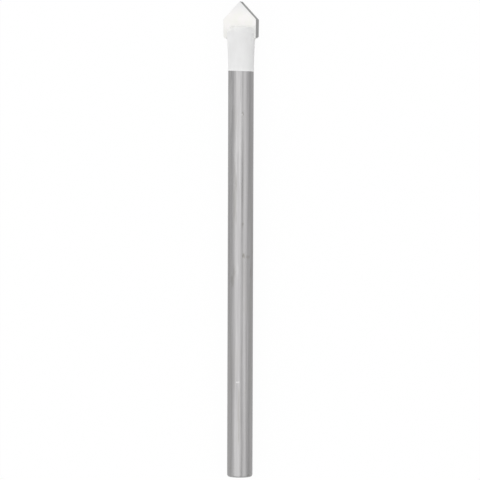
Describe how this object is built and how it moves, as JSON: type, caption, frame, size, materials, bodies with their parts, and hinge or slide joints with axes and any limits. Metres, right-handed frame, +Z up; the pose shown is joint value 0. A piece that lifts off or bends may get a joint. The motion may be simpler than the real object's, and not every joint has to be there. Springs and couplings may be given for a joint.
{
  "type": "glass and tile drill bit",
  "caption": "Straight round-shank drill bit with a spear-shaped carbide plate brazed across its blasted head, for drilling glass and ceramic tile.",
  "frame": {"origin": "below the middle of the bit's length, on the surface that the bit lies on", "axes": "+X along the bit from the shank end to the point, +Z up as it lies"},
  "size_m": [0.089, 0.0066, 0.0054],
  "materials": {
    "shank_steel": "ground along its length with fine streaks; its head is blasted to a matt pale grey",
    "tip_carbide": "flat faces matt pale grey, lips and margins ground bare to a darker grey",
    "braze_alloy": "blasted matt pale grey with the head"
  },
  "bodies": {
    "root": {"shank": "shank_steel", "carbide_tip": "tip_carbide", "braze_joint": "braze_alloy"}
  },
  "joints": []
}
